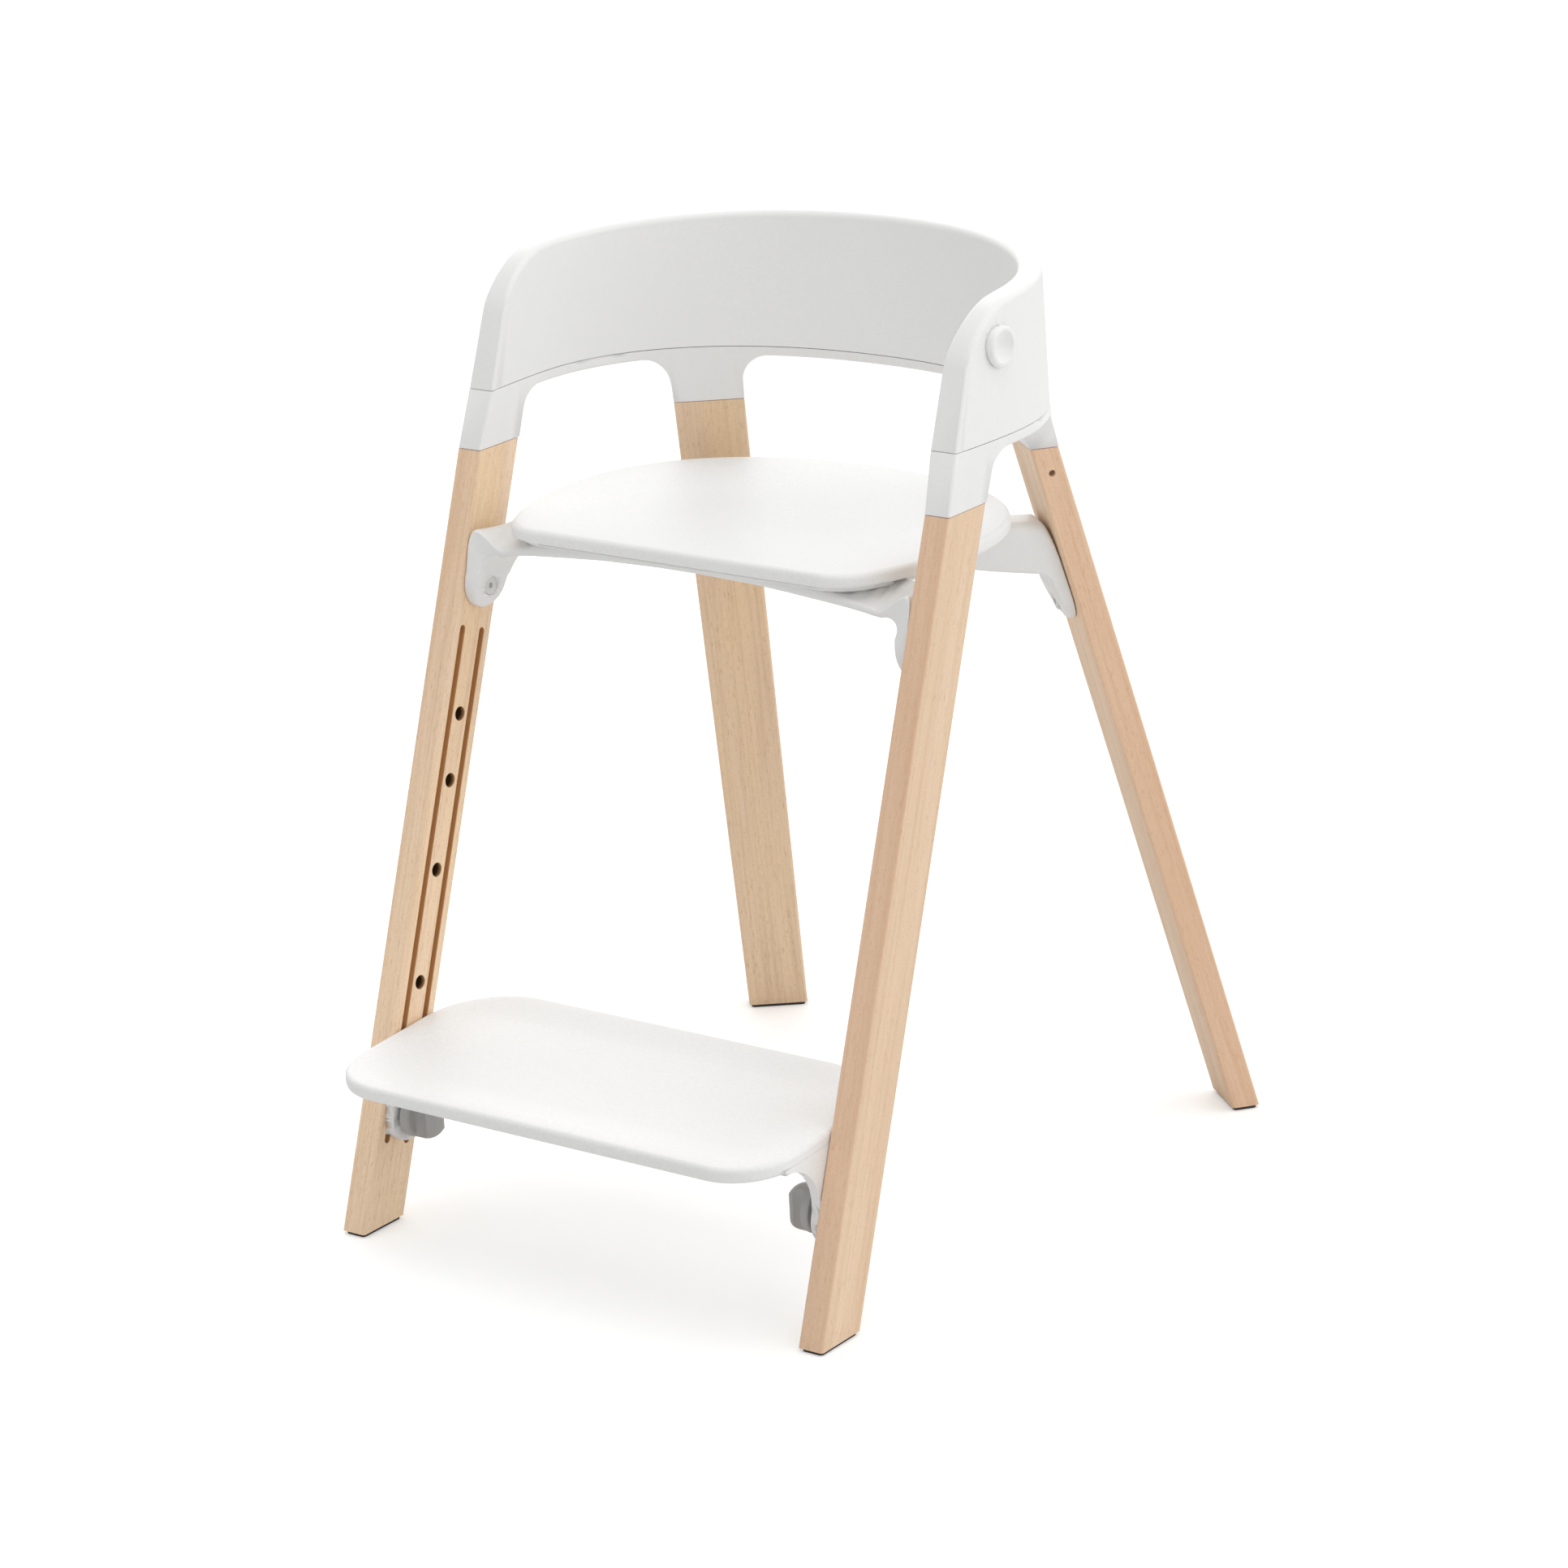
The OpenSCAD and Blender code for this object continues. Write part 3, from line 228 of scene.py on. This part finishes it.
def beech_streaks(material, where, turn, shift):
    """Slow streaks. shift is another place in the noise, so that no two boards are alike."""
    moved = add_node(material, "ShaderNodeVectorMath")
    moved.operation = "ADD"
    moved.inputs[1].default_value = (shift, 0.3 * shift, 0.7 * shift)
    join(material, stretched(material, where, turn, (1, 1, 0.05)), moved.inputs[0])
    return between(material, noise(material, moved.outputs["Vector"], 55, 4, 0.55, 0.5), 0.3, 0.7)


def beech_lines(material, where, turn):
    place = stretched(material, where, turn, (1, 1, 0.02))
    return between(material, noise(material, place, 420, 3, 0.6, 0.2), 0.45, 0.72)


def beech_flecks(material, where, turn):
    place = stretched(material, where, turn, (1, 1, 0.16))
    return between(material, noise(material, place, 900, 2, 0.5), 0.58, 0.74)


def beech_patches(material, where, turn):
    place = stretched(material, where, turn, (1, 1, 0.12))
    return between(material, noise(material, place, 42, 2), 0.42, 0.58)


def beech_pores(material, where):
    return between(material, noise(material, where, 750, 2, 0.6), 0.38, 0.62)


print("beech has streaks, lines, flecks, patches and pores")

# %% [markdown]
# The wide faces of a board are cut through the rings at another angle than its narrow sides, so
# they are yellower. The narrow sides of the right boards are painted browner, as painted shade,
# and the left boards are painted paler towards the floor, as painted light from the floor. Each face
# could have a material of its own, but the direction in which a face looks tells it apart as well,
# with one material for the whole board.

# %% Wide faces, painted shade on the narrow faces, and painted floor light at the foot
# The brown on the narrow sides is painted shade.
narrow_shade_brown = (0.77, 0.35, 0.18)
# The paler foot colour is painted light from the floor.
floor_lit_beech = (1.0, 0.765, 0.535)
narrow_facing, wide_facing = 0.6, 0.85
foot_top, foot_low = 0.38, 0.12


def wide_faces(material, where, through):
    """Near 1 on faces that look through the board and near 0 on its narrow sides."""
    facing = add_node(material, "ShaderNodeVectorMath")
    facing.operation = "DOT_PRODUCT"
    facing.inputs[1].default_value = through
    join(material, where.node.outputs["Normal"], facing.inputs[0])
    wide = add_node(material, "ShaderNodeMath")
    wide.operation = "ABSOLUTE"
    join(material, facing.outputs["Value"], wide.inputs[0])
    return wide.outputs["Value"]


def painted_floor_light(material, where, share):
    """Painted light from the floor: 0 above foot_top, and the full share below foot_low."""
    height = add_node(material, "ShaderNodeSeparateXYZ")
    join(material, where, height.inputs["Vector"])
    return between(material, height.outputs["Z"], foot_top, foot_low, 0.0, share)


print("the foot gets paler between", foot_top, "and", foot_low, "metres above the floor")

# %% [markdown]
# Each front leg has two grooves, in which the footrest slides, and five holes between them, which
# take the locking screws. They are cut after sanding and stay rough, so they are brown, and painted
# shade makes the grooves deeper brown and the holes dark inside. The CAD part is one mesh, so the
# colour follows the depth below the board's inner face: that needs no faces to be picked by hand.

# %% Grooves and holes
inner_face = 0.1818
board_middle = 0.2125
grooves_half_width = 0.0165
hole_half_width = 0.006
cut_bottom = 0.0185
# The groove colour is the rough cut wood and painted shade; the hole colour is painted shade.
groove_brown_and_shade = (0.54, 0.28, 0.1)
hole_painted_shade = (0.03, 0.015, 0.008)
cut_colour_and_shade_share = 0.92


def window(material, value, low, high, soft=0.0004):
    """1 where low < value < high, else 0, with soft borders."""
    return multiply(material, between(material, value, low, low + soft),
                    between(material, value, high, high - soft))


def cuts(material, where, turn, cut_face):
    """Where the grooves and where the holes are, on the board whose inner face is at cut_face."""
    own = add_node(material, "ShaderNodeSeparateXYZ")
    join(material, stretched(material, where, turn, (1, 1, 1)), own.inputs["Vector"])
    across = own.outputs["X"]
    below = add_node(material, "ShaderNodeMath")
    below.operation = "MULTIPLY_ADD"
    below.inputs[1].default_value = 1 if cut_face > 0 else -1
    below.inputs[2].default_value = -abs(cut_face)
    join(material, own.outputs["Y"], below.inputs[0])
    depth = below.outputs["Value"]
    both_grooves = window(material, across, board_middle - grooves_half_width,
                          board_middle + grooves_half_width)
    hole_row = window(material, across, board_middle - hole_half_width,
                      board_middle + hole_half_width)
    groove = multiply(material, window(material, depth, 0.0003, cut_bottom), both_grooves)
    hole = multiply(material, window(material, depth, 0.0008, cut_bottom, 0.003), hole_row)
    return groove, hole


print("cuts are coloured down to", cut_bottom, "metres below the inner face")

# %% [markdown]
# Now the board is put together. Pale and deep wood are mixed by the streaks, and each further
# pattern is laid over it, as a stain would be, and so are the painted shade on the narrow sides and
# the painted light near the floor. The clear matt lacquer is the shader's roughness, which is a
# little higher on the lines, where the wood drinks more of it. No two boards come from one tree, so
# each leg has its own tone, and the front left board's tone is also raised a little as painted
# light.

# %% The wood of a leg
def beech(name, axes, shift, tone, warmth, narrow_shade, floor_light_share, cut_face):
    """Light beech whose grain runs along axes[2]. tone makes one board a little darker than another,
    and on the front left board it is also raised a little as painted light. warmth is the share of
    yellow in the patches of its wide faces, narrow_shade the share of brown painted as shade on its
    narrow sides, and floor_light_share how much paler it is painted towards the floor, as light from
    the floor. cut_face is the place of its inner face if that has grooves and holes, whose colours
    are partly painted shade."""
    material, shader, where = start_material(name, plain_beech, 0.5)
    turn = Matrix([list(axis) for axis in axes]).to_euler("XYZ")
    pale, deep, yellow = (tuple(tone * c for c in colour)
                          for colour in (pale_beech, deep_beech, yellow_beech))
    wide = wide_faces(material, where, axes[1])
    lines = beech_lines(material, where, turn)
    colour = mixed(material, beech_streaks(material, where, turn, shift), deep, pale)
    warm = between(material, wide, narrow_facing, wide_facing, 0.2 * warmth, warmth)
    patches = multiply(material, beech_patches(material, where, turn), warm)
    flecks = multiply(material, beech_flecks(material, where, turn), fleck_share)
    layers = [
        (patches, yellow),
        # Paler towards the floor: painted light from the floor.
        (painted_floor_light(material, where, floor_light_share), floor_lit_beech),
        (multiply(material, lines, ring_share), ring_brown),
        (multiply(material, beech_pores(material, where), pore_share), pore_brown),
        (flecks, fleck_brown),
        # The brown on the narrow sides is painted shade.
        (between(material, wide, narrow_facing, wide_facing, narrow_shade, 0.0), narrow_shade_brown),
    ]
    if cut_face is not None:
        groove, hole = cuts(material, where, turn, cut_face)
        # Grooves are painted brown with shade in them, and holes are painted dark as shade.
        layers.append((multiply(material, groove, cut_colour_and_shade_share), groove_brown_and_shade))
        layers.append((multiply(material, hole, cut_colour_and_shade_share), hole_painted_shade))
    for share, stain in layers:
        colour = mixed(material, share, colour, stain)
    join(material, colour, shader.inputs["Base Color"])
    join(material, between(material, lines, 0, 1, 0.44, 0.58), shader.inputs["Roughness"])
    raise_grain(material, shader, lines, 0.00006)
    return material


# The columns are grain, shift, tone, warmth, narrow_shade, floor_light_share and cut_face. The
# front left board's higher tone is partly painted light.
boards = {
    "front_left": (front_axes(), 1.3, 1.04, 0.75, 0.03, 0.8, -inner_face),
    "front_right": (front_axes(), 4.1, 0.97, 0.1, 0.2, 0.0, inner_face),
    "back_left": (back_axes(-1), 7.7, 0.98, 0.7, 0.05, 0.4, None),
    "back_right": (back_axes(1), 9.2, 1.01, 0.05, 0.22, 0.0, None),
}
for leg, board in boards.items():
    paint(nodes[leg + "_leg"], beech("beech_" + leg, *board))
    print("painted:", leg + "_leg")

# %% [markdown]
# Backrest, ring, seat, seat frame and footrest are moulded in white plastic. One plain white would
# look like chalk. A mould leaves a very fine, even grain that breaks the gloss, and the wide faces
# waver a little in tone, so two noises do this. The shells carry a finer, glossier grain. Seat and
# footrest are coarser, so that a child doesn't slip. The knobs are grey, and the glides are dark.

# %% Moulded plastic
def moulded(name, colour, roughness, grain_scale, grain_depth, speckle=0.0):
    """Plastic with a grain of grain_depth metres. speckle is how much darker its dots are."""
    material, shader, where = start_material(name, colour, roughness)
    tone = between(material, noise(material, where, 9, 3), 0.3, 0.7)
    shade = mixed(material, tone, tuple(0.975 * c for c in colour), colour)
    if speckle:
        dots = between(material, noise(material, where, 600, 2, 0.6), 0.4, 0.62)
        shade = mixed(material, dots, shade, tuple((1 - speckle) * c for c in colour))
    join(material, shade, shader.inputs["Base Color"])
    grain = noise(material, where, grain_scale, 2, 0.6)
    join(material, between(material, grain, 0.35, 0.65, roughness + 0.06, roughness - 0.05),
         shader.inputs["Roughness"])
    raise_grain(material, shader, grain, grain_depth)
    return material


white_shell = moulded("white_shell", (0.895, 0.895, 0.887), 0.42, 1500, 0.00003, 0.03)
white_seat = moulded("white_seat", (0.88, 0.88, 0.875), 0.5, 1100, 0.00011, 0.05)
white_frame = moulded("white_frame", (0.83, 0.83, 0.823), 0.45, 1300, 0.00004, 0.03)
grey_knob = moulded("grey_knob", (0.42, 0.41, 0.4), 0.5, 1500, 0.0001)
dark_glide = moulded("dark_glide", (0.045, 0.045, 0.045), 0.75, 900, 0.00006)
for plastic in (white_shell, white_seat, white_frame, grey_knob, dark_glide):
    print("plastic:", plastic.name)

# %% [markdown]
# Screws, pins and bushes are zinc-plated steel. Metal takes its look from what it mirrors, so the
# shader is fully metallic, and only its brightness and its fine scratches vary. The heads of the
# frame bolts are coated in a matt light grey, so that they nearly vanish in the pads.

# %% Plated steel and coated heads
def plated(name):
    material, shader, where = start_material(name, (0.62, 0.61, 0.59), 0.32, 1.0)
    patches = between(material, noise(material, where, 160, 4), 0.3, 0.7)
    shade = mixed(material, patches, (0.5, 0.49, 0.47), (0.68, 0.67, 0.65))
    join(material, shade, shader.inputs["Base Color"])
    scratches = noise(material, where, 2600, 2)
    join(material, between(material, scratches, 0.3, 0.7, 0.26, 0.42), shader.inputs["Roughness"])
    raise_grain(material, shader, scratches, 0.00001)
    return material


steel = plated("plated_steel")
coated = moulded("coated_bolt", (0.7, 0.7, 0.69), 0.5, 2200, 0.00003)
finishes = {
    white_shell: ("left_disc", "right_disc"),
    dark_glide: ("front_left_glide", "front_right_glide", "back_left_glide", "back_right_glide"),
    grey_knob: ("left_knob", "right_knob"),
    coated: ("frame_bolts",),
    steel: ("ring_screws", "lock_pins", "frame_inserts", "seat_screws", "thread_bushes",
            "left_screw", "right_screw"),
}
for material, parts in finishes.items():
    for name in parts:
        paint(nodes[name], material)
    print(material.name, "on", len(parts), "parts")

# %% [markdown]
# The big mouldings come from CAD as flat facets. On the real chair they are smooth, with crisp
# edges only where two faces meet. A subdivision would make them smooth too, but it would shrink them
# away from their true size. So each one is copied, its loose triangles are joined, and every edge
# that turns by less than a limit is shaded smooth. Weighted normals keep the wide faces calm. Knobs
# and discs also get a small round on their sharp edges, as a mould leaves one.

# %% Smooth the moulded parts
def joined_copy(node, sharp):
    """A copy of the part's mesh whose triangles share their corners, smooth below sharp degrees."""
    mesh = nodes[node].data.copy()
    shape = bmesh.new()
    shape.from_mesh(mesh)
    bmesh.ops.remove_doubles(shape, verts=shape.verts, dist=0.00002)
    bmesh.ops.dissolve_degenerate(shape, edges=shape.edges, dist=0.00002)
    for face in shape.faces:
        face.smooth = True
    shape.to_mesh(mesh)
    shape.free()
    mesh.set_sharp_from_angle(angle=math.radians(sharp))
    if "custom_normal" in mesh.attributes:
        mesh.attributes.remove(mesh.attributes["custom_normal"])
    return mesh


def smooth_moulding(node, material, body, sharp=38, edge=0.0):
    """Puts a smooth piece in the place of a CAD part. edge is the round on its edges in metres."""
    mesh = joined_copy(node, sharp)
    piece = bpy.data.objects.new(node + "_shell", mesh)
    bpy.context.scene.collection.objects.link(piece)
    if edge:
        soft = piece.modifiers.new("soft edges", "BEVEL")
        soft.width = edge
        soft.segments = 3
        soft.limit_method = "ANGLE"
        soft.angle_limit = math.radians(sharp)
    calm = piece.modifiers.new("calm faces", "WEIGHTED_NORMAL")
    calm.keep_sharp = True
    calm.weight = 80
    paint(piece, material)
    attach(piece, body)
    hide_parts(node)
    print(node, "joined:", len(mesh.vertices), "corners and", len(mesh.polygons), "faces")


smooth_moulding("backrest", white_shell, "chair")
smooth_moulding("leg_ring", white_shell, "chair")
smooth_moulding("seat", white_seat, "chair")
smooth_moulding("seat_frame", white_frame, "chair")
smooth_moulding("footrest", white_seat, "footrest")
for side in ("left", "right"):
    smooth_moulding(side + "_disc", white_shell, "chair", 30, 0.0004)
for side in ("left", "right"):
    smooth_moulding(side + "_knob", grey_knob, side + "_knob", 30, 0.0007)

# %% [markdown]
# The photograph is taken from the front right and from above with a long lens, so lines stay
# nearly parallel. A camera could be pointed by eye. This one was found from the straight edges of
# the legs, which fix its place, its turn and its lens. It has only a small roll.

# %% Camera
view_turn = math.radians(37.07)
view_down = math.radians(18.33)
view_roll = math.radians(-3.0)
camera_place = (2.03742, -2.684937, 1.39707)
back = Vector((math.sin(view_turn) * math.cos(view_down), -math.cos(view_turn) * math.cos(view_down),
               math.sin(view_down)))
right = Vector((math.cos(view_turn), math.sin(view_turn), 0))
up = back.cross(right)
rolled_right = right * math.cos(view_roll) + up * math.sin(view_roll)
rolled_up = up * math.cos(view_roll) - right * math.sin(view_roll)
camera_turn = Matrix((rolled_right, rolled_up, back)).transposed()
camera = bpy.data.objects.new("camera", bpy.data.cameras.new("camera"))
camera.matrix_world = Matrix.Translation(camera_place) @ camera_turn.to_4x4()
camera.data.sensor_width = 36
camera.data.lens = 120.4
camera.data.clip_end = 100
bpy.context.scene.collection.objects.link(camera)
bpy.context.scene.camera = camera
print("camera is", round(camera.location.length, 2), "m away, lens", camera.data.lens, "mm")

# %% [markdown]
# The floor is plain white and runs far behind the chair, so it is the background too. A stronger
# lamp would also turn it white, but it would bleach the chair. So the camera sees the floor's own
# light plus a steady glow, which keeps it white while the chair's soft shadow stays. For all other
# rays it is a pale floor that throws light up on the chair. From below it is clear, so that the
# underside can be looked at.

# %% Floor
floor_material = bpy.data.materials.new("white_floor")
floor_material.use_nodes = True
tree = floor_material.node_tree
tree.nodes.clear()
output = tree.nodes.new("ShaderNodeOutputMaterial")
choose = tree.nodes.new("ShaderNodeMixShader")
path = tree.nodes.new("ShaderNodeLightPath")
pale_floor = tree.nodes.new("ShaderNodeBsdfDiffuse")
pale_floor.inputs["Color"].default_value = (0.8, 0.8, 0.795, 1)
seen_floor = tree.nodes.new("ShaderNodeBsdfDiffuse")
seen_floor.inputs["Color"].default_value = (0.8, 0.8, 0.8, 1)
glow = tree.nodes.new("ShaderNodeEmission")
glow.inputs["Color"].default_value = (1, 1, 0.985, 1)
glow.inputs["Strength"].default_value = 0.34
glowing_floor = tree.nodes.new("ShaderNodeAddShader")
tree.links.new(seen_floor.outputs[0], glowing_floor.inputs[0])
tree.links.new(glow.outputs[0], glowing_floor.inputs[1])
tree.links.new(path.outputs["Is Camera Ray"], choose.inputs[0])
tree.links.new(pale_floor.outputs[0], choose.inputs[1])
tree.links.new(glowing_floor.outputs[0], choose.inputs[2])
from_below = tree.nodes.new("ShaderNodeNewGeometry")
clear = tree.nodes.new("ShaderNodeBsdfTransparent")
one_sided = tree.nodes.new("ShaderNodeMixShader")
tree.links.new(from_below.outputs["Backfacing"], one_sided.inputs[0])
tree.links.new(choose.outputs[0], one_sided.inputs[1])
tree.links.new(clear.outputs[0], one_sided.inputs[2])
tree.links.new(one_sided.outputs[0], output.inputs["Surface"])
floor_reach = 30
floor_shape = bmesh.new()
bmesh.ops.create_grid(floor_shape, x_segments=1, y_segments=1, size=floor_reach)
floor_mesh = bpy.data.meshes.new("floor")
floor_shape.to_mesh(floor_mesh)
floor_shape.free()
floor = bpy.data.objects.new("floor", floor_mesh)
floor.data.materials.append(floor_material)
bpy.context.scene.collection.objects.link(floor)
print("floor reaches", floor_reach, "m to each side")

# %% [markdown]
# Past the floor's end the world is seen. It has two strengths: full white for the camera, for
# mirrored rays and for rays through clear surfaces, and half as much as light on the chair. One
# strength for all would either turn the background grey or wash out the white shells.

# %% World
world = bpy.data.worlds.new("studio")
bpy.context.scene.world = world
world.use_nodes = True
tree = world.node_tree
tree.nodes.clear()
output = tree.nodes.new("ShaderNodeOutputWorld")
choose = tree.nodes.new("ShaderNodeMixShader")
path = tree.nodes.new("ShaderNodeLightPath")
camera_or_clear = tree.nodes.new("ShaderNodeMath")
camera_or_clear.operation = "MAXIMUM"
any_of_three = tree.nodes.new("ShaderNodeMath")
any_of_three.operation = "MAXIMUM"
soft_light = tree.nodes.new("ShaderNodeBackground")
soft_light.inputs["Color"].default_value = (1, 1, 1, 1)
soft_light.inputs["Strength"].default_value = 0.5
white = tree.nodes.new("ShaderNodeBackground")
white.inputs["Color"].default_value = (1, 1, 0.985, 1)
white.inputs["Strength"].default_value = 1.0
tree.links.new(path.outputs["Is Camera Ray"], camera_or_clear.inputs[0])
tree.links.new(path.outputs["Is Transmission Ray"], camera_or_clear.inputs[1])
tree.links.new(camera_or_clear.outputs[0], any_of_three.inputs[0])
tree.links.new(path.outputs["Is Glossy Ray"], any_of_three.inputs[1])
tree.links.new(any_of_three.outputs[0], choose.inputs[0])
tree.links.new(soft_light.outputs[0], choose.inputs[1])
tree.links.new(white.outputs[0], choose.inputs[2])
tree.links.new(choose.outputs[0], output.inputs["Surface"])
print("world lights the chair with", soft_light.inputs["Strength"].default_value)

# %% [markdown]
# The world lights every side evenly. Four very wide lamps add the studio's direction: one from above
# for the seat and the footrest, one from the right for the outer faces of the right legs, and two
# from behind for the rim, the seat's back and the floor in front. Area lamps would fade with their
# distance, so these are suns with a wide angle: they shine like a bright sky, with the same strength
# over the whole floor.

# %% Lamps
lamp_spread = math.radians(60)


def wide_lamp(name, comes_from, strength):
    data = bpy.data.lights.new(name, "SUN")
    data.angle = lamp_spread
    data.energy = strength
    lamp = bpy.data.objects.new(name, data)
    lamp.matrix_world = Vector(comes_from).to_track_quat("Z", "Y").to_matrix().to_4x4()
    bpy.context.scene.collection.objects.link(lamp)
    print(name, "comes from", comes_from, "with strength", strength)


wide_lamp("lamp_above", (0.05, -0.05, 1), 1.1)
wide_lamp("lamp_right", (1, 0, 0.35), 0.45)
wide_lamp("lamp_back_left", (-0.75, 0.75, 0.5), 0.88)
wide_lamp("lamp_back_right", (0.75, 0.75, 0.5), 0.55)

# %% [markdown]
# The colours have to come out as they are written, so the view transform is Standard and not one
# that softens bright tones.

# %% View
bpy.context.scene.view_settings.view_transform = "Standard"
